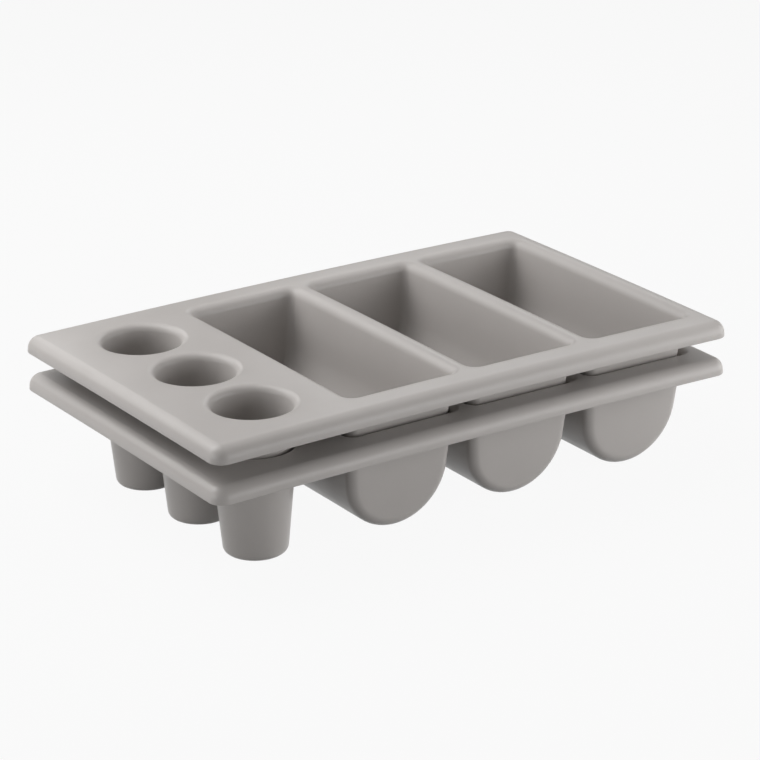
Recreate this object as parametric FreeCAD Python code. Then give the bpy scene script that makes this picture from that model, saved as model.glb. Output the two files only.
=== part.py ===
import FreeCAD, Part
import math
import os

# Two equal cutlery trays, one standing in the other.
# Each tray is one plastic moulding with three round cups and three long wells hanging from a flat deck.
# Millimetres. X runs along the long side with the cups at its low end, Y across, Z up.
# The origin is on the table under the middle of the lower tray.

# The tray is the size of a full catering pan.
LENGTH = 530.0
WIDTH = 325.0
HEIGHT = 98.0
NEST_PITCH = 34.75

# Every wall has one thickness, and every upright wall leans outwards so that the trays nest.
WALL = 2.0
CUP_DRAFT = 5.35
WELL_SIDE_DRAFT = 5.0
WELL_END_DRAFT = 4.8
SKIRT_DRAFT = 4.0

# The rim turns down all round in a short skirt.
SKIRT_HEIGHT = 14.3
RIM_CORNER = 13.0
RIM_ROUND = 11.5
SKIRT_EDGE_ROUND = 0.8

# Cup and well sizes are those of the hollow, where its walls would meet the deck without the lip.
CUP_ROW_X = -185.9
CUP_PITCH = 90.1
CUP_RADIUS = 34.7
CUP_LIP = 7.1
CUP_FLOOR_ROUND = 3.3

WELL_FIRST_X = -61.6
WELL_PITCH = 125.2
WELL_LENGTH = 253.6
WELL_WIDTH = 106.8
WELL_LIP = 9.2
WELL_END_ROUND = 6.8

CUP_SPOTS = [(CUP_ROW_X, row * CUP_PITCH) for row in (-1, 0, 1)]
WELL_SPOTS = [(WELL_FIRST_X + k * WELL_PITCH, 0.0) for k in range(3)]

ABOVE = 6.0


def leaning(distance, draft):
    """How far a wall that leans by draft moves sideways over this height."""
    return distance * math.tan(math.radians(draft))


def thicker(draft):
    """What one wall thickness measures along the deck, on a wall that leans by draft."""
    return WALL / math.cos(math.radians(draft))


def leaning_bar(half_low, half_high, bottom, top, length):
    """A bar along X, centred on the Z axis, whose two long sides lean."""
    outline = [(-half_low, bottom), (half_low, bottom), (half_high, top), (-half_high, top)]
    points = [FreeCAD.Vector(-length / 2, y, z) for y, z in outline]
    return Part.Face(Part.makePolygon(points + points[:1])).extrude(FreeCAD.Vector(length, 0, 0))


def rim_form(inset, top, bottom):
    """The rim as a solid block: leaning sides, quarter cones at the corners and a round upper edge."""
    high = leaning(-top - SKIRT_HEIGHT, SKIRT_DRAFT) - inset
    low = leaning(-bottom - SKIRT_HEIGHT, SKIRT_DRAFT) - inset
    along = LENGTH / 2 - RIM_CORNER
    across = WIDTH / 2 - RIM_CORNER
    pieces = [leaning_bar(WIDTH / 2 + low, WIDTH / 2 + high, bottom, top, 2 * along)]
    short = leaning_bar(LENGTH / 2 + low, LENGTH / 2 + high, bottom, top, 2 * across)
    short.rotate(FreeCAD.Vector(0, 0, 0), FreeCAD.Vector(0, 0, 1), 90)
    pieces.append(short)
    axis = FreeCAD.Vector(0, 0, 1)
    for turn, (x, y) in enumerate([(along, across), (-along, across), (-along, -across), (along, -across)]):
        foot = FreeCAD.Vector(0, 0, bottom)
        corner = Part.makeCone(RIM_CORNER + low, RIM_CORNER + high, top - bottom, foot, axis, 90)
        corner.rotate(FreeCAD.Vector(0, 0, 0), axis, 90 * turn)
        corner.translate(FreeCAD.Vector(x, y, 0))
        pieces.append(corner)
    block = pieces[0].multiFuse(pieces[1:]).removeSplitter()
    upper = [edge for edge in block.Edges if abs(edge.BoundBox.ZMin - top) < 1e-6]
    return block.makeFillet(RIM_ROUND - inset, upper)


def rim():
    """The flat deck with its turned-down skirt, before the hollows are added."""
    outside = rim_form(0.0, 0.0, -SKIRT_HEIGHT)
    lower = [edge for edge in outside.Edges if abs(edge.BoundBox.ZMax + SKIRT_HEIGHT) < 1e-6]
    outside = outside.makeFillet(SKIRT_EDGE_ROUND, lower)
    inside = rim_form(thicker(SKIRT_DRAFT), -WALL, -SKIRT_HEIGHT - ABOVE)
    return outside.cut(inside)


def cup_form(grow, top, floor):
    """A round cup as a solid: a cone that narrows downwards, with a rounded floor edge."""
    upper = CUP_RADIUS + grow * thicker(CUP_DRAFT) + leaning(top, CUP_DRAFT)
    lower = CUP_RADIUS + grow * thicker(CUP_DRAFT) + leaning(floor, CUP_DRAFT)
    cone = Part.makeCone(lower, upper, top - floor, FreeCAD.Vector(0, 0, floor))
    foot = [edge for edge in cone.Edges if abs(edge.BoundBox.ZMax - floor) < 1e-6]
    return cone.makeFillet(CUP_FLOOR_ROUND + grow * WALL, foot)


def well_section(grow, top, floor):
    """The outline of a well across its length: two leaning sides that run into a round bottom."""
    side = WELL_WIDTH / 2 + grow * thicker(WELL_SIDE_DRAFT)
    lean = math.radians(WELL_SIDE_DRAFT)
    radius = (side + leaning(floor, WELL_SIDE_DRAFT)) * math.cos(lean) / (1 - math.sin(lean))
    centre = floor + radius
    touch = FreeCAD.Vector(radius * math.cos(lean), 0, centre - radius * math.sin(lean))
    rim_point = FreeCAD.Vector(side + leaning(top, WELL_SIDE_DRAFT), 0, top)
    mirrored = [FreeCAD.Vector(-point.x, 0, point.z) for point in (touch, rim_point)]
    lowest = FreeCAD.Vector(0, 0, floor)
    edges = [
        Part.makeLine(rim_point, touch),
        Part.Arc(touch, lowest, mirrored[0]).toShape(),
        Part.makeLine(mirrored[0], mirrored[1]),
        Part.makeLine(mirrored[1], rim_point),
    ]
    return Part.Wire(edges)


def well_form(grow, top, floor):
    """A well as a solid: the round-bottomed section, cut off by two leaning ends, with rounded end edges."""
    half = WELL_LENGTH / 2 + grow * thicker(WELL_END_DRAFT)
    bar = Part.Face(well_section(grow, top, floor)).extrude(FreeCAD.Vector(0, 2 * WIDTH, 0))
    bar.translate(FreeCAD.Vector(0, -WIDTH, 0))
    low = half + leaning(floor - ABOVE, WELL_END_DRAFT)
    high = half + leaning(top + ABOVE, WELL_END_DRAFT)
    corners = [(-high, top + ABOVE), (high, top + ABOVE), (low, floor - ABOVE), (-low, floor - ABOVE)]
    points = [FreeCAD.Vector(-WIDTH, y, z) for y, z in corners]
    wedge = Part.Face(Part.makePolygon(points + points[:1])).extrude(FreeCAD.Vector(2 * WIDTH, 0, 0))
    block = bar.common(wedge)
    ends = []
    for edge in block.Edges:
        box = edge.BoundBox
        along_end = abs(box.ZMin - top) > 1e-6 and box.YLength < 0.5 * half
        if along_end:
            ends.append(edge)
    return block.makeFillet(WELL_END_ROUND + grow * WALL, ends)


def placed(form, spots):
    """Copies of a form, one at each spot on the deck."""
    copies = []
    for x, y in spots:
        copy = form.copy()
        copy.translate(FreeCAD.Vector(x, y, 0))
        copies.append(copy)
    return copies


def edges_round(shape, spots, z, reach):
    """The edges of a shape that lie flat at height z within reach of the spots."""
    found = []
    for edge in shape.Edges:
        box = edge.BoundBox
        if abs(box.ZMin - z) > 1e-4 or abs(box.ZMax - z) > 1e-4:
            continue
        for x, y in spots:
            if abs(box.Center.x - x) < reach[0] and abs(box.Center.y - y) < reach[1]:
                found.append(edge)
                break
    return found


CUP_REACH = (CUP_RADIUS + 8, CUP_RADIUS + 8)
WELL_REACH = (WELL_WIDTH / 2 + 6, WELL_LENGTH / 2 + 6)


def tray():
    """One whole tray with the top of its deck at z = 0."""
    body = rim()
    bulges = placed(cup_form(1, -WALL / 2, -HEIGHT), CUP_SPOTS)
    bulges += placed(well_form(1, -WALL / 2, -HEIGHT), WELL_SPOTS)
    body = body.multiFuse(bulges).removeSplitter()
    body = body.makeFillet(CUP_LIP - WALL, edges_round(body, CUP_SPOTS, -WALL, CUP_REACH))
    body = body.makeFillet(WELL_LIP - WALL, edges_round(body, WELL_SPOTS, -WALL, WELL_REACH))
    hollows = placed(cup_form(0, ABOVE, WALL - HEIGHT), CUP_SPOTS)
    hollows += placed(well_form(0, ABOVE, WALL - HEIGHT), WELL_SPOTS)
    body = body.cut(Part.makeCompound(hollows)).removeSplitter()
    body = body.makeFillet(CUP_LIP, edges_round(body, CUP_SPOTS, 0, CUP_REACH))
    body = body.makeFillet(WELL_LIP, edges_round(body, WELL_SPOTS, 0, WELL_REACH))
    return body


def main():
    os.makedirs("parts", exist_ok=True)
    moulding = tray()
    for name, deck in (("lower_tray", HEIGHT), ("upper_tray", HEIGHT + NEST_PITCH)):
        piece = moulding.copy()
        piece.translate(FreeCAD.Vector(0, 0, deck))
        piece.exportStep("parts/" + name + ".step")
        print(name, "solids", len(piece.Solids), "valid", piece.isValid(), "volume", round(piece.Volume))


main()
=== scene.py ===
import math

import bpy
from mathutils import Matrix, Vector
from mathutils.geometry import delaunay_2d_cdt


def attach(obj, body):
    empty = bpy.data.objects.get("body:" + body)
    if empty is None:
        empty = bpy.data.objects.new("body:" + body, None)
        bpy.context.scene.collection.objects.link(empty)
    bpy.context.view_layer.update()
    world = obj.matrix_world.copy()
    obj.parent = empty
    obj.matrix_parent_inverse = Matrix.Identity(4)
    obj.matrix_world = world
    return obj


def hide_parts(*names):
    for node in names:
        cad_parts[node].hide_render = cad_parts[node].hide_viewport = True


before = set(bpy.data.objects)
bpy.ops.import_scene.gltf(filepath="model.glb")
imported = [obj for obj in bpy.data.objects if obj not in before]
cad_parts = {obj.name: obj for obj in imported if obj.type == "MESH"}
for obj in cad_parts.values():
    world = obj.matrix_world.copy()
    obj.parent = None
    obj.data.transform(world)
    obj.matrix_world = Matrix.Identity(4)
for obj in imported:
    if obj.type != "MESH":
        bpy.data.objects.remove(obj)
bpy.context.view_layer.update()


# The tray's rim: a flat deck whose edge rolls over into a short skirt, moulded in one piece
# with the rest of the tray in grey ABS, with one thickness all over. Sizes are in millimetres,
# with the top of the deck at zero until the tray is set on the table.
LENGTH = 530.0
WIDTH = 325.0
WALL = 2.0
RIM_CORNER = 13.0
RIM_ROLL = 11.5
SKIRT_DROP = 14.3
SKIRT_LEAN = math.radians(4.0)
LOWER_EDGE_ROUND = 0.8
INNER_EDGE_ROUND = 0.3
CORNER_STEPS = 14
# the straight sides are split, so that they can take the tray's slight bow
LONG_SIDE_PARTS = 26
SHORT_SIDE_PARTS = 16


def across(lean):
    """What the wall's thickness measures level with the deck, where the wall leans."""
    return WALL / math.cos(lean)


def quarter_turn(first, last, steps):
    """Evenly spaced angles between two angles in degrees."""
    return [math.radians(first + (last - first) * k / steps) for k in range(steps + 1)]


def rim_outline(inset, z):
    """One closed line round the rim, inset from its lowest outer edge."""
    corner = RIM_CORNER - inset
    x, y = LENGTH / 2 - RIM_CORNER, WIDTH / 2 - RIM_CORNER
    line = []
    for cx, cy, start in ((x, y, 0), (-x, y, 90), (-x, -y, 180), (x, -y, 270)):
        for a in quarter_turn(start, start + 90, CORNER_STEPS):
            line.append((cx + corner * math.cos(a), cy + corner * math.sin(a), z))
        # the straight side that follows this corner runs to the same place mirrored
        end_x, end_y, _ = line[-1]
        if start in (0, 180):
            for k in range(1, LONG_SIDE_PARTS):
                line.append((end_x + (-end_x - end_x) * (k / LONG_SIDE_PARTS), end_y, z))
        else:
            for k in range(1, SHORT_SIDE_PARTS):
                line.append((end_x, end_y + (-end_y - end_y) * (k / SHORT_SIDE_PARTS), z))
    return line


def rim_lines():
    """All closed lines of the rim, from the deck's upper face over the skirt to its underside."""
    lean = math.degrees(SKIRT_LEAN)
    lines = []

    def roll(radius, centre_inset, centre_z, angles):
        for a in angles:
            inset = centre_inset - radius * math.sin(a)
            lines.append(rim_outline(inset, centre_z + radius * math.cos(a)))

    sweep = math.radians(90 - lean)
    drop = RIM_ROLL * (1 - math.cos(sweep))
    centre = (SKIRT_DROP - drop) * math.tan(SKIRT_LEAN) + RIM_ROLL * math.sin(sweep)
    roll(RIM_ROLL, centre, -RIM_ROLL, quarter_turn(0, 90 - lean, 14))
    # the skirt's outer lower edge is rounded, its inner one nearly sharp
    outer_z = -SKIRT_DROP + LOWER_EDGE_ROUND
    roll(LOWER_EDGE_ROUND, LOWER_EDGE_ROUND, outer_z, quarter_turn(90, 180, 5))
    inner_z = -SKIRT_DROP + INNER_EDGE_ROUND
    inner_inset = across(SKIRT_LEAN) - INNER_EDGE_ROUND
    roll(INNER_EDGE_ROUND, inner_inset, inner_z, quarter_turn(180, 270, 3))
    roll(RIM_ROLL - WALL, centre, -RIM_ROLL, reversed(quarter_turn(0, 90 - lean, 10)))
    return lines


# The three cups for upright cutlery: plain cones with a flat floor that hang from the deck
# through a soft lip, in the same grey ABS and the same moulding.
HEIGHT = 98.0
CUP_ROW_X = -185.9
CUP_PITCH = 90.1
CUP_RADIUS = 34.7
CUP_LEAN = math.radians(5.35)
CUP_LIP = 7.1
CUP_FLOOR_ROUND = 3.3
CUP_SIDES = 96
CUP_WALL_STEPS = 12
CUP_TURN_STEPS = 7


def lip_points(radius, lip, lean, under, steps):
    """Offset and height along the lip's section, from the deck to the leaning wall."""
    reach = lip * math.tan((math.pi / 2 - lean) / 2)
    arc = lip - (WALL if under else 0.0)
    points = []
    for a in quarter_turn(0, 90 - math.degrees(lean), steps):
        points.append((radius + reach - arc * math.sin(a), -lip + arc * math.cos(a)))
    return points


def cup_lines(y, under):
    """Closed level lines of one cup's hollow, or of its outside when under is true."""
    grow = across(CUP_LEAN) if under else 0.0
    floor = -HEIGHT if under else WALL - HEIGHT
    turn = CUP_FLOOR_ROUND + (WALL if under else 0.0)
    section = lip_points(CUP_RADIUS, CUP_LIP, CUP_LEAN, under, 10)
    # the floor's round edge touches the wall here
    sweep = math.pi / 2 - CUP_LEAN
    touch_z = floor + turn * (1 - math.cos(sweep))
    touch_r = CUP_RADIUS + grow + touch_z * math.tan(CUP_LEAN)
    start_r, start_z = section[-1]
    for k in range(1, CUP_WALL_STEPS + 1):
        t = k / CUP_WALL_STEPS
        section.append((start_r + (touch_r - start_r) * t, start_z + (touch_z - start_z) * t))
    centre_r = touch_r - turn * math.sin(sweep)
    for a in reversed(quarter_turn(0, math.degrees(sweep), CUP_TURN_STEPS)[:-1]):
        section.append((centre_r + turn * math.sin(a), floor + turn * (1 - math.cos(a))))
    # smaller rings split the flat floor
    for share in (0.75, 0.5, 0.25):
        section.append((centre_r * share, floor))
    lines = []
    for r, z in section:
        ring = []
        for k in range(CUP_SIDES):
            a = 2 * math.pi * k / CUP_SIDES
            ring.append((CUP_ROW_X + r * math.cos(a), y + r * math.sin(a), z))
        lines.append(ring)
    return lines


# The three long wells for lying cutlery: a round bottom from side to side like a gutter,
# closed by two leaning ends, with a soft lip. They hang side by side from the deck, in the
# same moulding.
WELL_FIRST_X = -61.6
WELL_PITCH = 125.2
WELL_LENGTH = 253.6
WELL_WIDTH = 106.8
WELL_SIDE_LEAN = math.radians(5.0)
WELL_END_LEAN = math.radians(4.8)
WELL_LIP = 9.2
WELL_END_ROUND = 6.8
WELL_LONG_STEPS = 14
WELL_TURN_STEPS = 9
WELL_END_STEPS = 9
WELL_WALL_STEPS = 6
WELL_BOTTOM_STEPS = 22


def well_quarter(xs, ys):
    """Mirrors a line from the long side's middle to the end's middle into a closed one."""
    quarter = list(zip(xs, ys))
    upper = quarter[:-1]
    left = [(-x, y) for x, y in reversed(quarter[1:])]
    half = upper + left
    return half + [(-x, -y) for x, y in half]


def well_lines(x_centre, under):
    """Closed lines of one well's hollow, or of its outside when under is true."""
    side_lean, end_lean = WELL_SIDE_LEAN, WELL_END_LEAN
    half_width = WELL_WIDTH / 2 + (across(side_lean) if under else 0.0)
    half_length = WELL_LENGTH / 2 + (across(end_lean) if under else 0.0)
    corner = WELL_END_ROUND + (WALL if under else 0.0)
    floor = -HEIGHT if under else WALL - HEIGHT
    half_floor = half_width + floor * math.tan(side_lean)
    radius = half_floor * math.cos(side_lean) / (1 - math.sin(side_lean))
    axis_z = floor + radius
    turns = quarter_turn(0, 90, WELL_TURN_STEPS)
    lines = []

    def close(xs, ys, zs):
        plan = well_quarter(xs, ys)
        heights = zs[:-1] + list(reversed(zs[1:]))
        lines.append([(x_centre + x, y, z) for (x, y), z in zip(plan, heights + heights)])

    def straight_then_turn(side_x, straight_y, turned, end_z, side_z):
        xs = [side_x] * WELL_LONG_STEPS
        ys = [straight_y * k / WELL_LONG_STEPS for k in range(WELL_LONG_STEPS)]
        zs = [side_z] * WELL_LONG_STEPS
        for x, y, z in turned:
            xs.append(x)
            ys.append(y)
            zs.append(z)
        last_x, last_y = xs[-1], ys[-1]
        for k in range(1, WELL_END_STEPS + 1):
            xs.append(last_x * (1 - k / WELL_END_STEPS))
            ys.append(last_y)
            zs.append(end_z)
        close(xs, ys, zs)

    sides = lip_points(WELL_WIDTH / 2, WELL_LIP, side_lean, under, 11)
    ends = lip_points(WELL_LENGTH / 2, WELL_LIP, end_lean, under, 11)
    for (side, z), (end, _) in zip(sides, ends):
        grown_x = side - sides[-1][0] + corner
        grown_y = end - ends[-1][0] + corner
        turned = []
        for a in turns:
            x = side - grown_x * (1 - math.cos(a))
            turned.append((x, end - grown_y * (1 - math.sin(a)), z))
        straight_then_turn(side, end - grown_y, turned, z, z)

    # the leaning sides, then the round bottom: each point of a turn lies at a depth d inside
    # the side and at a depth e inside the end
    top_z = sides[-1][1]
    touch_z = axis_z - radius * math.sin(side_lean)
    steps = []
    for k in range(1, WELL_WALL_STEPS + 1):
        steps.append((top_z + (touch_z - top_z) * k / WELL_WALL_STEPS, k / WELL_WALL_STEPS, None))
    for a in quarter_turn(math.degrees(side_lean), 90, WELL_BOTTOM_STEPS)[1:]:
        steps.append((axis_z - radius * math.sin(a), 1.0, a))
    for level, turn_share, a in steps:
        fall = math.sin(side_lean if a is None else a) * turn_share
        turned = []
        for angle in turns:
            d = corner * (1 - math.cos(angle))
            e = corner * (1 - math.sin(angle))
            z = level + fall * d
            if a is None:
                x = half_width + z * math.tan(side_lean) - d / math.cos(side_lean)
            else:
                x = (radius - d) * math.cos(a)
            y = half_length + z * math.tan(end_lean) - e / math.cos(end_lean)
            turned.append((x, y, z))
        straight_then_turn(turned[0][0], turned[0][1], turned, turned[-1][2], level)
    return lines


# One whole tray of grey ABS, a single closed shell: the rim, the cups and the wells are skinned
# above and below, and the flat deck fills the space between the openings. As it cooled it
# bowed up by two millimetres along its length and a little across.
BOW_LONG = 2.16
BOW_ACROSS = 0.74
# points on the flat deck, so that it can bow too
DECK_STEP_X = 20.5
DECK_STEP_Y = 17.5
DECK_ROW_SHIFT = 4.0
CLEAR_OF_RIM = 26
CLEAR_OF_OPENING = 7


def tray_mesh(name):
    """The tray's mesh, standing on the table, and what the bow adds to its deck corners' height."""
    points, faces, found = [], [], {}

    def number(p):
        key = (round(p[0], 4), round(p[1], 4), round(p[2], 4))
        if key not in found:
            found[key] = len(points)
            points.append(p)
        return found[key]

    def face(corners, up):
        loop = []
        for c in corners:
            if c not in loop:
                loop.append(c)
        if len(loop) > 2:
            faces.append(loop if up else loop[::-1])

    def skin(lines, up, centre=None):
        """Joins each closed line to the next, and fills the last one round a centre point."""
        numbered = [[number(p) for p in line] for line in lines]
        for a, b in zip(numbered, numbered[1:]):
            for k in range(len(a)):
                n = (k + 1) % len(a)
                face((a[k], a[n], b[n], b[k]), up)
        if centre is not None:
            hub, ring = number(centre), numbered[-1]
            for k in range(len(ring)):
                face((ring[k], ring[(k + 1) % len(ring)], hub), up)

    def deck(outline, openings, z, up):
        """The flat sheet between the rim and the openings, in triangles."""
        flat = [Vector((p[0], p[1])) for p in outline]
        rings = [list(range(len(flat)))]
        for ring in openings:
            rings.append(list(range(len(flat), len(flat) + len(ring))))
            flat += [Vector((p[0], p[1])) for p in ring]
        edges = [(r[k], r[(k + 1) % len(r)]) for r in rings for k in range(len(r))]

        def inside(ring, x, y):
            odd = False
            for a, b in zip(ring, ring[1:] + ring[:1]):
                if (a[1] > y) != (b[1] > y):
                    if x < a[0] + (y - a[1]) / (b[1] - a[1]) * (b[0] - a[0]):
                        odd = not odd
            return odd

        def clear_of_edges(x, y):
            if abs(x) > LENGTH / 2 - CLEAR_OF_RIM or abs(y) > WIDTH / 2 - CLEAR_OF_RIM:
                return False
            away = min(math.hypot(x - p[0], y - p[1]) for ring in openings for p in ring)
            return away > CLEAR_OF_OPENING and not any(inside(ring, x, y) for ring in openings)

        for i in range(-12, 13):
            for j in range(-8, 9):
                x, y = i * DECK_STEP_X + (j % 2) * DECK_ROW_SHIFT, j * DECK_STEP_Y
                if clear_of_edges(x, y):
                    flat.append(Vector((x, y)))
        spots, _, triangles, _, _, _ = delaunay_2d_cdt(flat, edges, [], 0, 1e-4)
        for t in triangles:
            middle = sum((spots[i] for i in t), Vector((0, 0))) / 3
            if not any(inside(ring, middle.x, middle.y) for ring in openings):
                face([number((spots[i].x, spots[i].y, z)) for i in t], up)

    rim = rim_lines()
    cups = []
    for y in (-CUP_PITCH, 0.0, CUP_PITCH):
        cups.append((y, cup_lines(y, False), cup_lines(y, True)))
    wells = []
    for k in range(3):
        x = WELL_FIRST_X + k * WELL_PITCH
        wells.append((well_lines(x, False), well_lines(x, True)))
    deck(rim[0], [c[1][0] for c in cups] + [w[0][0] for w in wells], 0.0, True)
    deck(rim[-1], [c[2][0] for c in cups] + [w[1][0] for w in wells], -WALL, False)
    skin(rim, False)
    for y, hollow, outside in cups:
        skin(hollow, True, (CUP_ROW_X, y, WALL - HEIGHT))
        skin(outside, False, (CUP_ROW_X, y, -HEIGHT))
    for hollow, outside in wells:
        skin(hollow, True)
        skin(outside, False)

    bowed = []
    for x, y, z in points:
        lift = BOW_LONG * (1 - (2 * x / LENGTH) ** 2)
        lift += BOW_ACROSS * (1 - (2 * y / WIDTH) ** 2)
        # whatever hangs below the deck leans with it
        slope_x = -8 * BOW_LONG * x / LENGTH ** 2
        slope_y = -8 * BOW_ACROSS * y / WIDTH ** 2
        bowed.append((x - z * slope_x, y - z * slope_y, z + lift))
    lowest = min(p[2] for p in bowed)
    mesh = bpy.data.meshes.new(name)
    mesh.from_pydata([(x / 1000, y / 1000, (z - lowest) / 1000) for x, y, z in bowed], [], faces)
    mesh.validate()
    mesh.shade_smooth()
    mesh.update()
    return mesh, -(lowest + HEIGHT)


# The grey plastic: satin moulded ABS with a fine spark-eroded grain, a little uneven in gloss
# and tone, and faintly wavy where it shrank. The lips are slightly polished where hands rub
# them, and the wells carry faint scratches that run the way the cutlery lies.
DARKER_TONE = (0.427, 0.404, 0.388, 1)
LIGHTER_TONE = (0.457, 0.434, 0.418, 1)
SCUFFED_TONE = (0.52, 0.505, 0.49, 1)
SHINE = 0.3
ROUGHNESS_LOW = 0.3
ROUGHNESS_HIGH = 0.37
LIP_POLISH = 0.07
GRAIN_DEPTH = 0.00004
WAVE_DEPTH = 0.0003


def grey_plastic():
    material = bpy.data.materials.new("grey_moulded_plastic")
    material.use_nodes = True
    nodes, links = material.node_tree.nodes, material.node_tree.links
    shader = nodes["Principled BSDF"]
    shader.inputs["Specular IOR Level"].default_value = SHINE
    place = nodes.new("ShaderNodeTexCoord").outputs["Object"]

    def noise(scale, detail, where=place):
        texture = nodes.new("ShaderNodeTexNoise")
        texture.inputs["Scale"].default_value = scale
        texture.inputs["Detail"].default_value = detail
        links.new(where, texture.inputs["Vector"])
        return texture.outputs["Fac"]

    def spread(value, low, high, to_low, to_high):
        """Maps the values from low to high onto the values from to_low to to_high."""
        step = nodes.new("ShaderNodeMapRange")
        step.inputs["From Min"].default_value = low
        step.inputs["From Max"].default_value = high
        step.inputs["To Min"].default_value = to_low
        step.inputs["To Max"].default_value = to_high
        links.new(value, step.inputs["Value"])
        return step.outputs["Result"]

    def combined(first, second, how):
        step = nodes.new("ShaderNodeMath")
        step.operation = how
        links.new(first, step.inputs[0])
        links.new(second, step.inputs[1])
        return step.outputs[0]

    # faint scratches: noise drawn out along the wells, kept to thin lines and to patches
    stretched = nodes.new("ShaderNodeMapping")
    stretched.inputs["Rotation"].default_value = (0, 0, 0.06)
    stretched.inputs["Scale"].default_value = (1.0, 0.03, 1.0)
    links.new(place, stretched.inputs["Vector"])
    lines = spread(noise(1500, 1, stretched.outputs["Vector"]), 0.66, 0.74, 0, 1)
    patches = spread(noise(24, 2), 0.5, 0.68, 0, 1)
    scratches = combined(lines, patches, "MULTIPLY")
    # the rounds that stick out, from the mesh's own curvature
    worn = spread(nodes.new("ShaderNodeNewGeometry").outputs["Pointiness"], 0.505, 0.535, 0, 1)
    rubbed = combined(worn, spread(noise(70, 4), 0.35, 0.65, 0.3, 1), "MULTIPLY")

    tone = nodes.new("ShaderNodeMix")
    tone.data_type = "RGBA"
    tone.inputs[6].default_value = DARKER_TONE
    tone.inputs[7].default_value = LIGHTER_TONE
    clouds = spread(noise(12, 5), 0.3, 0.7, 0, 0.7)
    specks = spread(noise(950, 2), 0.3, 0.7, 0, 0.3)
    links.new(combined(clouds, specks, "ADD"), tone.inputs["Factor"])
    scuffed = nodes.new("ShaderNodeMix")
    scuffed.data_type = "RGBA"
    scuffed.inputs[7].default_value = SCUFFED_TONE
    links.new(tone.outputs[2], scuffed.inputs[6])
    scratch_marks = spread(scratches, 0, 1, 0, 0.15)
    rub_marks = spread(rubbed, 0, 1, 0, 0.12)
    links.new(combined(scratch_marks, rub_marks, "ADD"), scuffed.inputs["Factor"])
    links.new(scuffed.outputs[2], shader.inputs["Base Color"])

    uneven = spread(noise(45, 5), 0.3, 0.7, ROUGHNESS_LOW, ROUGHNESS_HIGH)
    polished = spread(rubbed, 0, 1, 0, LIP_POLISH)
    links.new(combined(uneven, polished, "SUBTRACT"), shader.inputs["Roughness"])

    grain = nodes.new("ShaderNodeBump")
    grain.inputs["Strength"].default_value = 0.2
    grain.inputs["Distance"].default_value = GRAIN_DEPTH
    links.new(noise(2300, 3), grain.inputs["Height"])
    waves = nodes.new("ShaderNodeBump")
    waves.inputs["Strength"].default_value = 0.5
    waves.inputs["Distance"].default_value = WAVE_DEPTH
    links.new(noise(22, 1), waves.inputs["Height"])
    links.new(grain.outputs["Normal"], waves.inputs["Normal"])
    links.new(waves.outputs["Normal"], shader.inputs["Normal"])
    return material


plastic = grey_plastic()


# The two trays, both the same moulding of grey plastic. The lower one stands on its cups and
# wells. The upper one sits loose inside it, with nothing fixed, and lifts straight off.
NEST_PITCH = 34.75
tray_shell, bow_drop = tray_mesh("tray_moulding")
TRAYS = (
    ("lower_tray", "lower_tray", 0.0),
    ("upper_tray", "upper_tray", NEST_PITCH),
)
for body, node, rise in TRAYS:
    mesh = tray_shell.copy()
    mesh.materials.append(plastic)
    moulding = bpy.data.objects.new(node + "_moulding", mesh)
    bpy.context.scene.collection.objects.link(moulding)
    moulding.location = (0, 0, rise / 1000)
    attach(moulding, body)
    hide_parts(node)


# The table: a wide, flat, pale sheet with a dull surface. The camera and the reflections see it
# nearly white, with the trays' shadow on it, and it throws back the light of a mid-grey one.
TABLE_SIZE = 12.0
TABLE_GREY = (0.3, 0.3, 0.3, 1)
WHITE_SHARE = 0.93


def pale_floor():
    material = bpy.data.materials.new("pale_floor")
    material.use_nodes = True
    nodes, links = material.node_tree.nodes, material.node_tree.links
    shader = nodes["Principled BSDF"]
    shader.inputs["Base Color"].default_value = TABLE_GREY
    shader.inputs["Roughness"].default_value = 0.9
    shader.inputs["Specular IOR Level"].default_value = 0.2
    glow = nodes.new("ShaderNodeEmission")
    path = nodes.new("ShaderNodeLightPath")
    seen = nodes.new("ShaderNodeMath")
    seen.operation = "MAXIMUM"
    links.new(path.outputs["Is Camera Ray"], seen.inputs[0])
    links.new(path.outputs["Is Glossy Ray"], seen.inputs[1])
    also = nodes.new("ShaderNodeMath")
    also.operation = "MAXIMUM"
    links.new(seen.outputs[0], also.inputs[0])
    links.new(path.outputs["Is Transmission Ray"], also.inputs[1])
    share = nodes.new("ShaderNodeMath")
    share.operation = "MULTIPLY"
    share.inputs[1].default_value = WHITE_SHARE
    links.new(also.outputs[0], share.inputs[0])
    mix = nodes.new("ShaderNodeMixShader")
    links.new(share.outputs[0], mix.inputs["Fac"])
    links.new(shader.outputs[0], mix.inputs[1])
    links.new(glow.outputs[0], mix.inputs[2])
    links.new(mix.outputs[0], nodes["Material Output"].inputs["Surface"])
    return material


bpy.ops.mesh.primitive_plane_add(size=TABLE_SIZE, location=(0, 0, 0))
floor = bpy.context.object
floor.name = "table_sheet"
floor.data.materials.append(pale_floor())


# Studio light: a dim room, a key box high at the back left, weaker boxes behind and beside the
# trays, and low strips at the right, the left and the front that light the walls under the rims.
ROOM_LIGHT = 0.01
LAMP_AIM = Vector((0, 0, 0.08))
world = bpy.data.worlds.new("studio_room")
bpy.context.scene.world = world
world.use_nodes = True
room = world.node_tree.nodes["Background"]
room.inputs["Color"].default_value = (1, 1, 1, 1)
room.inputs["Strength"].default_value = ROOM_LIGHT


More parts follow.
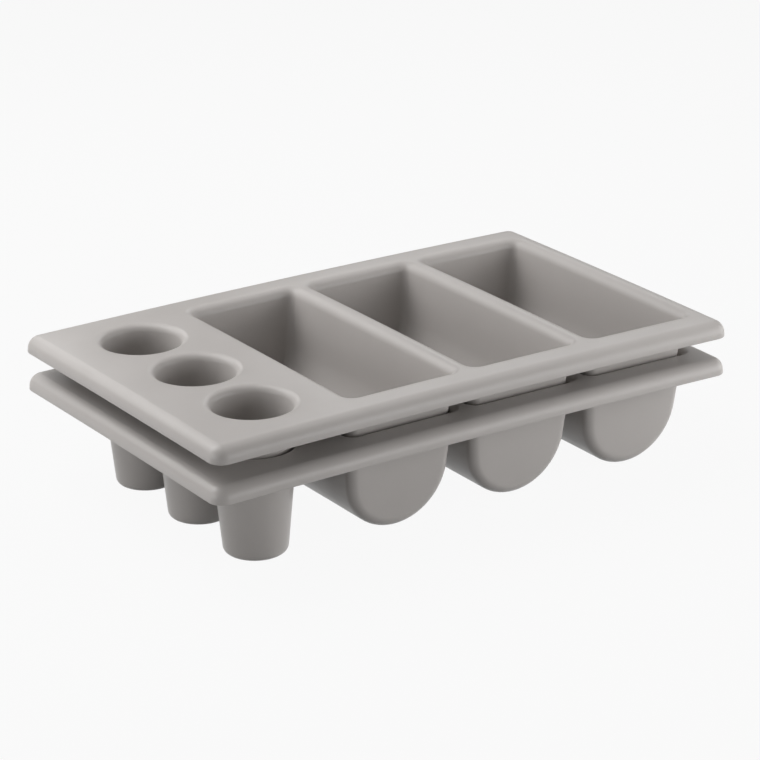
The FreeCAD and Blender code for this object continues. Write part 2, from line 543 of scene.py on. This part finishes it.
def soft_box(name, round_angle, height_angle, size, power, away=1.5):
    """A soft box that faces the trays, at angles in degrees round from +X and up from the table."""
    data = bpy.data.lights.new(name, "AREA")
    data.shape = "RECTANGLE"
    data.size, data.size_y = size
    data.energy = power
    lamp = bpy.data.objects.new(name, data)
    bpy.context.scene.collection.objects.link(lamp)
    turn, rise = math.radians(round_angle), math.radians(height_angle)
    level = math.cos(rise)
    towards = Vector((level * math.cos(turn), level * math.sin(turn), math.sin(rise)))
    lamp.location = towards * away + LAMP_AIM
    lamp.rotation_euler = towards.to_track_quat("Z", "Y").to_euler()


soft_box("key_box", 135, 58, (1.1, 1.1), 15.2)
soft_box("back_left_box", 135, 32, (0.8, 0.8), 5.2)
soft_box("back_box", 90, 32, (0.8, 0.8), 3.6)
soft_box("back_right_box", 45, 32, (0.8, 0.8), 2.8)
soft_box("right_high_box", 0, 58, (0.8, 0.8), 2.6)
soft_box("left_box", 180, 32, (0.8, 0.8), 1.2)
soft_box("left_low_strip", 180, 10, (1.2, 0.5), 5.4)
soft_box("front_low_strip", 270, 10, (1.2, 0.5), 2.4)
soft_box("right_low_strip", 315, 10, (2.4, 0.6), 9.2)
soft_box("right_near_box", 318, 14, (1.2, 0.6), 4.2, 1.0)


# The camera, as it stood for the photograph: its place, its aim and its lens were worked out
# from the trays' outlines. Its place is counted from the upper deck's corners, in millimetres.
view = bpy.data.cameras.new("photo_camera")
camera = bpy.data.objects.new("photo_camera", view)
bpy.context.scene.collection.objects.link(camera)
bpy.context.scene.camera = camera
PHOTO_FOCUS = 3060.74
FRAME_PIXELS = 760
SENSOR = 36.0
view.sensor_width = SENSOR
view.sensor_fit = "HORIZONTAL"
view.lens = PHOTO_FOCUS / FRAME_PIXELS * SENSOR
view.clip_start = 0.1
view.clip_end = 60.0
TURN, TILT, ROLL = 0.596167, 0.36766, -0.002711
AIM_ACROSS, AIM_UP, DISTANCE = -1.6066, 45.4694, 2677.0
ahead = math.cos(TILT)
forward = Vector((math.sin(TURN) * ahead, math.cos(TURN) * ahead, -math.sin(TILT)))
level = Vector((math.cos(TURN), -math.sin(TURN), 0.0))
above = level.cross(forward)
right = level * math.cos(ROLL) + above * math.sin(ROLL)
up = above * math.cos(ROLL) - level * math.sin(ROLL)
place = -(right * AIM_ACROSS + up * AIM_UP + forward * DISTANCE)
deck_height = HEIGHT + NEST_PITCH + bow_drop
camera.location = (place + Vector((0, 0, deck_height))) / 1000
camera.rotation_euler = Matrix((right, up, -forward)).transposed().to_euler()

bpy.context.scene.view_settings.view_transform = "Standard"
